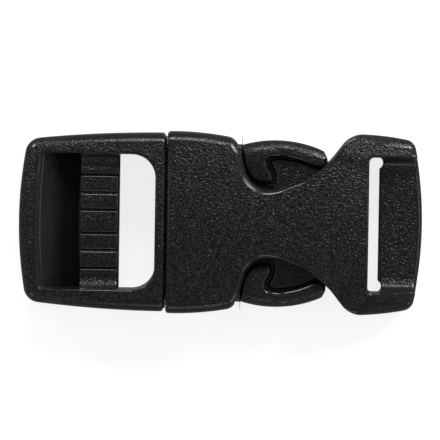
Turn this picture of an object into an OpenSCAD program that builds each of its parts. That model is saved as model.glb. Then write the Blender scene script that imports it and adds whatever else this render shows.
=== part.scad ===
// Side-release buckle for narrow webbing, shown fastened, as two moulded halves.
// X runs along the buckle, Y across it and Z up from the face it rests on. All sizes are millimetres.

/* [Whole buckle] */
// Length over both halves
buckle_length = 48.5; // [48:0.1:50]
// Greatest width, at the mouth of the socket
buckle_width = 21.8; // [21.6:0.1:22.4]
// Height at the middle of the socket
buckle_height = 7.4; // [7.2:0.1:7.6]
// Radius of the arch of the top along the buckle
arch_radius = 140; // [130:5:140]
// Radius of the crown of the top across the buckle
crown_radius = 60; // [55:5:70]
// Radius of the rolled upper edges
roll_radius = 1.4; // [0.8:0.1:1.6]

/* [Webbing] */
// Clear width of the strap slot and of the strap window
strap_width = 16.26; // [15.6:0.02:16.6]
// Opening of the strap slot along the buckle
slot_opening = 1.3; // [1.1:0.1:1.6]
// Opening of the strap window along the buckle
window_opening = 4.26; // [4.1:0.02:4.5]

/* [Adjuster frame] */
// Width of the flat rim at the adjuster end
rim_width = 2; // [1.6:0.1:2.2]
// Length of the ribbed bar along the buckle
bar_length = 4.68; // [4.4:0.02:4.8]
// Thickness of the ribbed bar
bar_thickness = 2.3; // [2:0.1:2.6]
// Depth of the grooves between the ribs
groove_depth = 0.15; // [0.1:0.05:0.2]

/* [Socket] */
// Thickness of the two plates of the socket
plate_thickness = 1.3; // [1.1:0.1:1.5]
// Half width of the waist between the side windows
waist_half_width = 4; // [3.8:0.02:4.2]
// Thickness of the recessed bar at the strap slot
end_bar_thickness = 1.9; // [1.7:0.1:2.1]

/* [Latch] */
// Running gap between the two halves
running_gap = 0.25; // [0.15:0.05:0.3]
// Thickness of the middle plate of each release pad
web_thickness = 1.8; // [1.4:0.1:2.2]
// Width of each spring arm behind its pad
arm_width = 2; // [1.6:0.1:2.2]
// Radius of the outer edge of each release pad
pad_radius = 14; // [13.5:0.1:14.5]

/* [Hidden] */

// Columns of every table of corners: place along X, place across Y, corner radius.
ALONG = 0;
ACROSS = 1;
ROUND = 2;

$fn = 96;
left_end = -buckle_length / 2;
right_end = buckle_length / 2;
joint = -6.65;
half_gap = 0.13;
slot_left = right_end - 6.56;
slot_right = slot_left + slot_opening;
window_right = joint - 1.25;
window_left = window_right - window_opening;
bar_left = window_left - bar_length;
half_strap = strap_width / 2;
half_width = buckle_width / 2;
frame_half_width = half_width - 0.18;
frame_taper = 3.2;
arch_middle = -3;
side_height = buckle_height - 1.2;
side_fall = 4.5;
shoulder_slope = 18;
middle_height = 3.6;
cavity_low = plate_thickness;
cavity_high = buckle_height - plate_thickness - 0.15;
cavity_half_width = 9.55;
cavity_roof_step = 0.6;
cavity_end = 12.95;
cavity_core_half = 6;
root_end = joint + 2.4;
tongue_half_height = 1.3;
tongue_end = 14.6;
arm_outside = cavity_half_width - 0.2;
arm_half_height = 1.6;
pad_start = 2.4;
pad_half_height = 2.05;
pad_middle_along = 6.55;
pad_reach = 9.98;
bar_top = 5.4;
bar_chamfer = 0.5;
bar_fillet = 0.75;
rib_edges = [1.4, 3.45, 5.6];
groove_radius = 0.22;
relief_radius = 0.7;
relief_inset = 0.29;
end_bar_low = 1.2;
end_bar_fillet = 2;

// A direction of length one.
function unit(v) = v / norm(v);

// Points along the rounded corner between two straight sides.
function corner_points(before, corner, after, radius) =
    let (u = unit(before - corner))
    let (v = unit(after - corner))
    let (half_angle = acos(max(-1, min(1, u * v))) / 2)
    let (middle = corner + unit(u + v) * radius / sin(half_angle))
    let (reach = radius / tan(half_angle))
    let (start = corner + u * reach - middle)
    let (stop = corner + v * reach - middle)
    let (first = atan2(start.y, start.x))
    let (raw_turn = atan2(stop.y, stop.x) - first)
    let (turn = raw_turn > 180 ? raw_turn - 360 : raw_turn < -180 ? raw_turn + 360 : raw_turn)
    let (parts = max(2, ceil(abs(turn) / 9)))
    [for (i = [0:parts])
        middle + radius * [cos(first + turn * i / parts), sin(first + turn * i / parts)]];

// Outline of a table of corners, each rounded by the radius in its last column.
function rounded(table) = [
    for (i = [0:len(table) - 1])
        let (before = table[(i + len(table) - 1) % len(table)])
        let (here = table[i])
        let (after = table[(i + 1) % len(table)])
        each here[ROUND] > 0
            ? corner_points([before[ALONG], before[ACROSS]], [here[ALONG], here[ACROSS]],
                [after[ALONG], after[ACROSS]], here[ROUND])
            : [[here[ALONG], here[ACROSS]]]];

// A table of the +Y side followed by its mirror image, so that the outline is the same on both sides.
function both_sides(table) = concat(table, [
    for (i = [len(table) - 1:-1:0])
        [table[i][ALONG], -table[i][ACROSS], table[i][ROUND]]]);

// Stands a section that is drawn as X and Z, and runs it across the buckle.
module across(half_length) {
    rotate([90, 0, 0])
        linear_extrude(2 * half_length, center = true)
            children();
}

// Runs a section that is drawn as Y and Z along the buckle.
module along(x0, x1) {
    translate([x0, 0, 0])
        rotate([90, 0, 90])
            linear_extrude(x1 - x0)
                children();
}

// Runs an outline that is drawn as X and Y upwards.
module upright(z0, z1) {
    translate([0, 0, z0])
        linear_extrude(z1 - z0)
            children();
}

// The arched top, crowned across, as a ring that turns about an axis across the buckle. At the half
// width given it has a rolled edge below a shoulder that meets the crown.
module crowned_top(half) {
    inner = arch_radius - buckle_height - 3;
    edge = arch_radius - buckle_height + side_height;
    translate([arch_middle, 0, buckle_height - arch_radius])
        rotate([90, 0, 0])
            rotate_extrude($fn = 720)
                intersection() {
                    polygon(rounded([
                        [inner, -half, 0],
                        [edge, -half, roll_radius],
                        [edge + half * tan(shoulder_slope), 0, 0],
                        [edge, half, roll_radius],
                        [inner, half, 0]]));
                    translate([arch_radius - crown_radius, 0])
                        circle(r = crown_radius, $fn = 360);
                }
}

// A bowed end as a disc, with the rolled edges and the slope of the top that leads down to it.
module end_disc(end, radius, profile) {
    side = end < 0 ? 1 : -1;
    translate([end + side * radius, 0, 0])
        rotate_extrude($fn = 720)
            polygon(rounded(concat([[0, 0, 0]], [
                for (row = profile)
                    [radius - row[ALONG], row[ACROSS], row[ROUND]]],
                [[0, 20, 0]])));
}

// One long side of the adjuster frame, turned to the slight taper of the frame: its lower edge is rolled
// along the flat underside, and its upper edge falls with the arch and has a shoulder that meets the crown.
module frame_side() {
    translate([joint, 0, 0])
        rotate([0, 0, frame_taper])
            intersection() {
                along(-20, 3)
                    polygon(rounded([
                        [-20, 0, 0],
                        [frame_half_width, 0, 1],
                        [frame_half_width, 20, 0],
                        [-20, 20, 0]]));
                translate([0, 0, side_height])
                    rotate([0, -side_fall, 0])
                        along(-21, 4)
                            polygon(rounded([
                                [-20, -12, 0],
                                [frame_half_width, -12, 0],
                                [frame_half_width, 0, roll_radius],
                                [-20, (frame_half_width + 20) * tan(shoulder_slope), 0]]));
            }
}

// Adjuster frame inside its rolled edges, before any opening.
module frame_blank() {
    intersection() {
        crowned_top(20);
        frame_side();
        mirror([0, 1, 0])
            frame_side();
        end_disc(left_end, 50, [
            [0, 0, 1],
            [0, 5.5, 1.2],
            [3, 6.75, 0],
            [8, 20, 0]]);
        upright(-1, 20)
            frame_plan();
    }
}

// Socket inside its rolled edges, before any opening.
module socket_blank() {
    intersection() {
        crowned_top(half_width);
        along(joint - 1, right_end + 1)
            polygon(rounded([
                [-half_width, 0, 1],
                [half_width, 0, 1],
                [half_width, 20, 0],
                [-half_width, 20, 0]]));
        end_disc(right_end, 46, [
            [0, 0, 1],
            [0, 4.75, 1],
            [7.5, 9.5, 0],
            [8, 20, 0]]);
        upright(-1, 20)
            socket_plan();
    }
}

// Outline of the adjuster frame: bowed end, rounded corners, tapering sides and a rolled mouth.
module frame_plan() {
    polygon(rounded(both_sides([
        [left_end - 1, 8.2, 0],
        [left_end + 0.6, 8.2, 0],
        [left_end + 1.45, 9.72, 0.8],
        [-21, 10, 12],
        [-14, 10.5, 60],
        [joint - half_gap - 0.45, 10.72, 0],
        [joint - half_gap, 10.42, 0]])));
}

// Pocket over the sloping bar and strap window together.
module frame_opening() {
    polygon(rounded([
        [left_end + rim_width, -half_strap, 0.3],
        [window_right, -half_strap, 2.8],
        [window_right, half_strap, 2.8],
        [left_end + rim_width, half_strap, 0.3]]));
}

// Sloping end bar, which guides the webbing down and under the ribbed bar.
module sloping_bar() {
    top = left_end + rim_width;
    across(half_strap + 0.1)
        polygon(rounded([
            [top - 0.5, 0, 0],
            [top - 0.5, 4.9, 0],
            [top + 0.1, 5.5, 0],
            [top + 0.8, 4.9, 0.2],
            [bar_left - 0.15, 1.6, 0.2],
            [bar_left + 0.3, 0.75, 0.25],
            [bar_left - 1, 0.55, 0]]));
}

// Ribbed bar, which grips the webbing: a flat top with grooves, and a fillet up to each rail.
module ribbed_bar() {
    difference() {
        across(half_strap + 0.1)
            polygon(rounded([
                [bar_left, bar_top - bar_thickness, 0.3],
                [bar_left, bar_top, 0.15],
                [window_left - bar_chamfer, bar_top, 0],
                [window_left, bar_top - bar_chamfer, 0],
                [window_left, bar_top - bar_thickness, 0.3]]));
        for (edge = rib_edges)
            for (side = [-1, 1])
                translate([bar_left - 1, side * edge, bar_top + groove_radius - groove_depth])
                    rotate([0, 90, 0])
                        cylinder(r = groove_radius, h = bar_length + 2, $fn = 24);
    }
    for (side = [-1, 1])
        bar_end_fillet(side);
}

// Fillet from the top of the ribbed bar up to one rail.
module bar_end_fillet(side) {
    start = half_strap - bar_fillet;
    along(bar_left, window_left - bar_chamfer)
        scale([side, 1])
            difference() {
                translate([start, bar_top - 1])
                    square([bar_fillet + 0.1, 1 + bar_fillet]);
                translate([start, bar_top + bar_fillet])
                    circle(r = bar_fillet);
            }
}

// Root of the arms and of the guide tongue, inside the mouth of the socket.
module latch_root() {
    reach = cavity_half_width - running_gap;
    low = cavity_low + running_gap;
    high = cavity_high - running_gap;
    along(joint - half_gap - 0.4, root_end)
        polygon(rounded([
            [-reach, low, 0.5],
            [reach, low, 0.5],
            [reach, high, 0.5],
            [-reach, high, 0.5]]));
}

// Hidden tongue, which narrows towards its tip.
module guide_tongue() {
    upright(middle_height - tongue_half_height, middle_height + tongue_half_height)
        polygon(rounded([
            [joint + 1, -3.7, 0],
            [0.6, -3.5, 2],
            [6, -1.5, 4],
            [tongue_end, -1.2, 0.8],
            [tongue_end, 1.2, 0.8],
            [6, 1.5, 4],
            [0.6, 3.5, 2],
            [joint + 1, 3.7, 0]]));
}

// Outer edge of a release pad, as a disc that bounds it.
module pad_bound() {
    translate([pad_middle_along, pad_reach - pad_radius])
        circle(r = pad_radius, $fn = 240);
}

// Middle plate of the +Y arm: spring arm first, then the plate of the pad.
module arm_web() {
    upright(middle_height - web_thickness / 2, middle_height + web_thickness / 2)
        intersection() {
            polygon(rounded([
                [joint + 1, arm_outside, 0],
                [joint + 1, arm_outside - arm_width, 0],
                [1.4, arm_outside - arm_width, 1],
                [3.3, 4.3, 1.4],
                [5, 3.4, 1.5],
                [8.6, 3.6, 4],
                [10.6, 4.75, 5],
                [12.45, 6.6, 0.4],
                [12.45, 8.3, 0.9],
                [11, 12, 0],
                [pad_start, 12, 0],
                [pad_start, arm_outside, 0]]));
            union() {
                pad_bound();
                translate([joint, 5])
                    square([pad_start - joint, 5]);
            }
        }
}

// Thicker spring arm between the root and the pad.
module spring_arm() {
    upright(middle_height - arm_half_height, middle_height + arm_half_height)
        polygon(rounded([
            [joint + 1, arm_outside - 0.05, 0],
            [joint + 1, arm_outside - arm_width, 0],
            [1.2, arm_outside - arm_width, 0.5],
            [1.2, arm_outside - 0.05, 0.5]]));
}

// Raised head and outer ridge of the +Y pad, which the fingers press and which bears on the socket.
module pad_rim() {
    upright(middle_height - pad_half_height, middle_height + pad_half_height)
        intersection() {
            polygon(rounded([
                [2.5, 12, 0],
                [2.5, 9.2, 2],
                [2.75, 6.9, 2.5],
                [3.6, 5.4, 1.5],
                [4.6, 4.88, 1],
                [6.05, 4.9, 0.45],
                [6.1, 5.8, 1],
                [5.3, 7.3, 0.7],
                [5.6, 8, 0.6],
                [7.3, 8.12, 1.8],
                [9.6, 7.6, 5],
                [12.2, 6.95, 0.3],
                [12.65, 7.7, 0.6],
                [12.2, 9.2, 0],
                [11, 12, 0]]));
            pad_bound();
        }
}

// Spring arm and release pad on the +Y side.
module release_arm() {
    spring_arm();
    arm_web();
    pad_rim();
}

// Latch moulding: adjuster frame, its bars, the root, the tongue and both arms.
module latch_half() {
    color("#1d1e20")
        union() {
            difference() {
                frame_blank();
                upright(-2, 20)
                    frame_opening();
            }
            sloping_bar();
            ribbed_bar();
            latch_root();
            guide_tongue();
            release_arm();
            mirror([0, 1, 0])
                release_arm();
        }
}

// Outline of the socket: mouth, sleeve, scalloped waist, flare and strap end.
module socket_plan() {
    polygon(rounded(both_sides([
        [joint + half_gap, 10.38, 0],
        [-5.4, half_width + 0.02, 0.6],
        [-1.2, 10.7, 30],
        [1.45, 10.35, 0.85],
        [1.62, 9.35, 2],
        [3.3, waist_half_width - 0.2, 3.3],
        [6.9, waist_half_width - 0.16, 4],
        [10.2, 5.25, 8],
        [13.15, 7.7, 6],
        [15.5, 10.87, 1.1],
        [19.5, 10.72, 30],
        [22.95, 10.2, 0.7],
        [23.6, 8.6, 0],
        [right_end + 1, 8, 0]])));
}

// One stretch of the space for the latch.
module cavity_stretch(x0, x1, half, low, high) {
    along(x0, x1)
        polygon(rounded([
            [-half, low, 0.7],
            [half, low, 0.7],
            [half, high, 0.7],
            [-half, high, 0.7]]));
}

// Space for the latch: high in the sleeve, lower past the waist, then a narrower core in the flare.
module socket_cavity() {
    roof = cavity_high - cavity_roof_step;
    cavity_stretch(joint - 2, 8, cavity_half_width, cavity_low, cavity_high);
    cavity_stretch(7, cavity_end, cavity_half_width, cavity_low, roof);
    cavity_stretch(cavity_end - 1, slot_left - 1.5, cavity_core_half, cavity_low + 0.1, roof - 0.2);
}

// Strap slot with its round relief at each end of the bar.
module strap_slot() {
    upright(-1, 20)
        union() {
            polygon(rounded([
                [slot_left, -half_strap, 0.6],
                [slot_right, -half_strap, 0],
                [slot_right, half_strap, 0],
                [slot_left, half_strap, 0.6]]));
            for (side = [-1, 1])
                translate([slot_right - relief_inset, side * (half_strap - relief_radius)])
                    circle(r = relief_radius, $fn = 48);
        }
}

// Space above and below the recessed bar, with a fillet up to each side of the flare.
module end_bar_space() {
    along(slot_right - 0.6, right_end + 2)
        union() {
            polygon(rounded([
                [-half_strap, end_bar_low + end_bar_thickness, end_bar_fillet],
                [half_strap, end_bar_low + end_bar_thickness, end_bar_fillet],
                [half_strap, 20, 0],
                [-half_strap, 20, 0]]));
            polygon(rounded([
                [-half_strap, -5, 0],
                [half_strap, -5, 0],
                [half_strap, end_bar_low, 0.5],
                [-half_strap, end_bar_low, 0.5]]));
        }
}

// Socket moulding: one shell with the cavity, the strap slot and the recessed bar.
module socket_half() {
    color("#222326")
        difference() {
            socket_blank();
            socket_cavity();
            strap_slot();
            end_bar_space();
        }
}

latch_half();
socket_half();
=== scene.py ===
"""Side-release buckle for 15 mm webbing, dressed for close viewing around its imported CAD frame.

Lengths inside the shape classes are millimetres in the frame of the CAD part; meshes are written in metres.
"""

import logging
import math
from dataclasses import dataclass, field
from enum import Enum
from typing import Sequence

import bpy
import numpy as np
from mathutils import Euler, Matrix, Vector


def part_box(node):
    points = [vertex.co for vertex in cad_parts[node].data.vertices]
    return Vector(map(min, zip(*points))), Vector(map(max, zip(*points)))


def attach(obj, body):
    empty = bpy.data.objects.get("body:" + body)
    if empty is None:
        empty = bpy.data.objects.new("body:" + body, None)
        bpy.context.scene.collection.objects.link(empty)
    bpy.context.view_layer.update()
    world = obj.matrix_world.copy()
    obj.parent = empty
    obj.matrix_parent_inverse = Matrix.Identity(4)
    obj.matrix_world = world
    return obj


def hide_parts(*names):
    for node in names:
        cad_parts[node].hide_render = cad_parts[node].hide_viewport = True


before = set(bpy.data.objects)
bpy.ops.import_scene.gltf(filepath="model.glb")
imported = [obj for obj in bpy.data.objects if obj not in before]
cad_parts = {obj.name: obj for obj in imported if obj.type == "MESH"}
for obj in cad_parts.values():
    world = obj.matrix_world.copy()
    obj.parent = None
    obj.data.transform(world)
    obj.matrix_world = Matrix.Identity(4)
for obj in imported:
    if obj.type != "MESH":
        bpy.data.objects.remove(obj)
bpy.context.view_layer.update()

Array = np.ndarray
Colour = tuple[float, float, float]
Value = bpy.types.NodeSocket | float | Colour
MM = 0.001
log = logging.getLogger("buckle")


class Grain(Enum):
    """How deep the sparked texture of the mould is on a piece, from 0 to 1."""

    SPARKED = 1.0
    FINE = 0.85
    RUBBED = 0.35
    POLISHED = 0.06


class Tint(Enum):
    """Colour of a studio lamp."""

    PLAIN = (1.0, 1.0, 1.0)
    COOL = (0.94, 0.97, 1.0)
    WARM = (1.0, 0.94, 0.86)


# Signed fields: negative inside the plastic, positive outside, in millimetres.


def rolled(first: Array, second: Array, radius: float | Array) -> Array:
    """Intersects two fields and rounds the edge where they meet.

    Args:
        first: Signed distance to the first solid.
        second: Signed distance to the second solid.
        radius: Radius of the rounded edge, one for all points or one for each.

    Returns:
        Signed distance to what both solids share.
    """
    reach = np.sqrt(np.maximum(first + radius, 0) ** 2 + np.maximum(second + radius, 0) ** 2)
    return np.minimum(np.maximum(first, second), -radius) + reach


def joined(first: Array, second: Array, radius: float) -> Array:
    """Unites two fields and fills the corner where they meet.

    Args:
        first: Signed distance to the first solid.
        second: Signed distance to the second solid.
        radius: Radius of the fillet.

    Returns:
        Signed distance to the united solid.
    """
    return -rolled(-first, -second, radius)


def smooth_step(low: float, high: float, value: Array) -> Array:
    """Returns 0 below low, 1 above high and a smooth ramp between."""
    ramp = np.clip((value - low) / (high - low), 0.0, 1.0)
    return ramp * ramp * (3.0 - 2.0 * ramp)


def blended(first: float | Array, second: float | Array, share: Array) -> Array:
    """Returns first where share is 0, second where it is 1 and a mix of both between."""
    return first + (second - first) * share


def fillet_rise(away: Array, floor_half: float, radius: float) -> Array:
    """Height that a round fillet adds on both sides of a flat floor.

    Args:
        away: Distance from the middle plane.
        floor_half: Half width of the floor.
        radius: Radius of the fillet.

    Returns:
        Height above the floor.
    """
    share = np.clip((away - floor_half) / radius, 0.0, 0.999)
    return radius * (1.0 - np.sqrt(1.0 - share**2))


@dataclass(frozen=True)
class Corner:
    """One corner of an outline: where it is and how far it is rounded."""

    along: float
    across: float
    radius: float = 0.0


@dataclass(frozen=True)
class Bow:
    """Long side that bows out: where it is widest, how far out it is there, and its radius."""

    widest: float
    half_width: float
    radius: float

    def distance(self, along: Array, away: Array) -> Array:
        """Signed distance to the side, negative inside."""
        return np.hypot(along - self.widest, away + self.radius - self.half_width) - self.radius


class Outline:
    """Closed outline with rounded corners, as straight and round stretches."""

    STEP = math.radians(6.0)

    def __init__(self, corners: Sequence[Corner]) -> None:
        """Rounds the corners and keeps the points of the outline.

        Args:
            corners: Corners in order, in either direction.
        """
        self.points = np.array([p for i in range(len(corners)) for p in self._round(corners, i)])

    @classmethod
    def both_sides(cls, corners: Sequence[Corner]) -> "Outline":
        """Makes an outline from its +Y half and the mirror image of that half.

        Args:
            corners: Corners of the +Y half, in order.

        Returns:
            The outline of both halves.
        """
        mirror = [Corner(c.along, -c.across, c.radius) for c in reversed(corners)]
        return cls([*corners, *mirror])

    def _round(self, corners: Sequence[Corner], index: int) -> list[tuple[float, float]]:
        """Points along one rounded corner.

        Args:
            corners: All corners of the outline.
            index: Which of them to round.

        Returns:
            The points, in order.
        """
        here, before, after = (corners[(index + k) % len(corners)] for k in (0, -1, 1))
        corner = Vector((here.along, here.across))
        if here.radius <= 0:
            return [tuple(corner)]
        u = (Vector((before.along, before.across)) - corner).normalized()
        v = (Vector((after.along, after.across)) - corner).normalized()
        half = math.acos(max(-1.0, min(1.0, u.dot(v)))) / 2
        middle = corner + (u + v).normalized() * here.radius / math.sin(half)
        reach = here.radius / math.tan(half)
        start = corner + u * reach - middle
        stop = corner + v * reach - middle
        first = math.atan2(start.y, start.x)
        turn = (math.atan2(stop.y, stop.x) - first + math.pi) % math.tau - math.pi
        parts = max(2, math.ceil(abs(turn) / self.STEP))
        angles = [first + turn * k / parts for k in range(parts + 1)]
        return [(middle.x + here.radius * math.cos(a), middle.y + here.radius * math.sin(a)) for a in angles]

    def distance(self, along: Array, across: Array) -> Array:
        """Signed distance from points to the outline.

        Args:
            along: First coordinate of the points.
            across: Second coordinate of the points.

        Returns:
            Distance, negative inside the outline.
        """
        nearest = np.full(np.broadcast(along, across).shape, np.inf)
        inside = np.zeros(nearest.shape, bool)
        for (ax, ay), (bx, by) in zip(self.points, np.roll(self.points, -1, axis=0)):
            ex, ey = bx - ax, by - ay
            square = ex * ex + ey * ey
            if square < 1e-18:
                continue
            share = np.clip(((along - ax) * ex + (across - ay) * ey) / square, 0.0, 1.0)
            nearest = np.minimum(nearest, (along - ax - share * ex) ** 2 + (across - ay - share * ey) ** 2)
            if ay != by:
                crosses = (ay > across) != (by > across)
                inside ^= crosses & (along < ax + (across - ay) * ex / ey)
        return np.where(inside, -1.0, 1.0) * np.sqrt(nearest)


@dataclass
class Lattice:
    """Regular grid of points on which a shape's field is sampled."""

    low: tuple[float, float, float]
    high: tuple[float, float, float]
    step: float

    def __post_init__(self) -> None:
        """Lays out the grid lines."""
        x, y, z = [
            (lo + self.step * np.arange(math.ceil((hi - lo) / self.step) + 1)).astype(np.float32)
            for lo, hi in zip(self.low, self.high)
        ]
        self.x, self.y, self.z = x[:, None, None], y[None, :, None], z[None, None, :]

    def below(self, height: Array) -> Array:
        """Signed distance to the solid below a height that varies in plan.

        Args:
            height: Height over each X and Y of the grid.

        Returns:
            Distance, negative below the height.
        """
        flat = np.broadcast_to(height, (self.x.size, self.y.size, 1))[:, :, 0]
        by_x, by_y = np.gradient(flat, self.step)
        return (self.z - flat[:, :, None]) / np.sqrt(1.0 + by_x**2 + by_y**2)[:, :, None]


class SampledField:
    """Field sampled on a lattice: draws its surface, and tells where that lies and how it turns."""

    CORNERS = [(i, j, k) for i in (0, 1) for j in (0, 1) for k in (0, 1)]
    LEAST_BEND = 0.55
    WEAR_SPAN = 1.1
    SETTLING_ROUNDS = 3
    LEAST_SQUARE = 0.2

    def __init__(self, lattice: Lattice, values: Array) -> None:
        """Keeps the samples and their slopes.

        Args:
            lattice: Grid that the field was sampled on.
            values: Field at each point of the grid.
        """
        self.low = np.array(lattice.low)
        self.step = lattice.step
        self.values = np.ascontiguousarray(values, np.float32)
        self.slopes = np.gradient(self.values, self.step)

    def net(self) -> tuple[Array, Array]:
        """Draws the surface as one closed net of quads.

        Returns:
            Vertices in millimetres, and the vertex numbers of each quad.
        """
        places, index = self._places()
        return self.low + places * self.step, self._quads(index)

    def _places(self) -> tuple[Array, Array]:
        """One vertex in each cell that the surface passes, at the middle of its crossings.

        Returns:
            Vertices in grid units, and the number of each cell's vertex.
        """
        v = self.values
        size = tuple(n - 1 for n in v.shape)
        corner = {c: v[c[0]:c[0] + size[0], c[1]:c[1] + size[1], c[2]:c[2] + size[2]] for c in self.CORNERS}
        inside = sum((corner[c] < 0).astype(np.int8) for c in self.CORNERS)
        cells = np.nonzero((inside > 0) & (inside < 8))
        total = np.zeros((cells[0].size, 3))
        count = np.zeros(cells[0].size)
        for a in self.CORNERS:
            for axis in (k for k in range(3) if not a[k]):
                b = tuple(1 if k == axis else a[k] for k in range(3))
                va, vb = corner[a][cells].astype(float), corner[b][cells].astype(float)
                crossed = (va < 0) != (vb < 0)
                share = np.where(crossed, va / np.where(crossed, va - vb, 1.0), 0.0)
                point = np.array(a, float)[None, :] + np.eye(3)[axis][None, :] * share[:, None]
                total += point * crossed[:, None]
                count += crossed
        index = np.full(size, -1, np.int64)
        index[cells] = np.arange(cells[0].size)
        return np.stack(cells, axis=1) + total / count[:, None], index

    def _quads(self, index: Array) -> Array:
        """One quad across each grid line that the surface crosses.

        Args:
            index: Number of each cell's vertex.

        Returns:
            Quads, wound so that they face out of the plastic.
        """
        quads = []
        for axis in range(3):
            p, q = [k for k in range(3) if k != axis]
            near = [slice(1, -1)] * 3
            near[axis] = slice(0, -1)
            far = list(near)
            far[axis] = slice(1, None)
            a, b = self.values[tuple(near)] < 0, self.values[tuple(far)] < 0
            spots = np.stack(np.nonzero(a != b), axis=1)
            outward = a[tuple(spots.T)]
            spots[:, [p, q]] += 1
            ring = []
            for dp, dq in ((-1, -1), (0, -1), (0, 0), (-1, 0)):
                cell = spots.copy()
                cell[:, p] += dp
                cell[:, q] += dq
                ring.append(index[tuple(cell.T)])
            quad = np.stack(ring, axis=1)
            flip = outward if axis == 1 else ~outward
            quad[flip] = quad[flip][:, ::-1]
            quads.append(quad)
        return np.concatenate(quads)

    def settled(self, points: Array) -> Array:
        """Moves points onto the surface along the slope of the field.

        Args:
            points: Points near the surface, in millimetres.

        Returns:
            The moved points.
        """
        for _ in range(self.SETTLING_ROUNDS):
            slope = np.stack([self._read(s, points) for s in self.slopes], axis=1)
            square = np.maximum((slope**2).sum(axis=1), self.LEAST_SQUARE)
            shift = np.clip(self._read(self.values, points) / square, -self.step / 2, self.step / 2)
            points = points - shift[:, None] * slope
        return points

    def normals(self, points: Array) -> Array:
        """Unit normals of the surface at points on it."""
        slope = np.stack([self._read(s, points) for s in self.slopes], axis=1)
        return slope / np.maximum(np.linalg.norm(slope, axis=1, keepdims=True), 1e-9)

    def wear(self, points: Array) -> Array:
        """Wear at points of the surface: 0 on flats and hollows, 1 on tight outer edges."""
        bend = sum(np.gradient(s, self.step, axis=k) for k, s in enumerate(self.slopes))
        return np.clip((self._read(bend, points) - self.LEAST_BEND) / self.WEAR_SPAN, 0.0, 1.0)

    def _read(self, values: Array, points: Array) -> Array:
        """Values at points between those of the grid, by mixing the nearest eight.

        Args:
            values: Something sampled on the grid.
            points: Points in millimetres.

        Returns:
            One value for each point.
        """
        places = (points - self.low) / self.step
        low = np.clip(np.floor(places).astype(int), 0, np.array(values.shape) - 2)
        share = places - low
        mixed = np.zeros(len(places))
        for c in self.CORNERS:
            weight = np.prod(np.where(np.array(c, bool), share, 1.0 - share), axis=1)
            mixed += weight * values[tuple((low + np.array(c)).T)]
        return mixed


@dataclass(frozen=True)
class Noise:
    """Kind of noise: grains in a metre, octaves, and how much the finer octaves count."""

    scale: float
    detail: float
    rough: float


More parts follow.
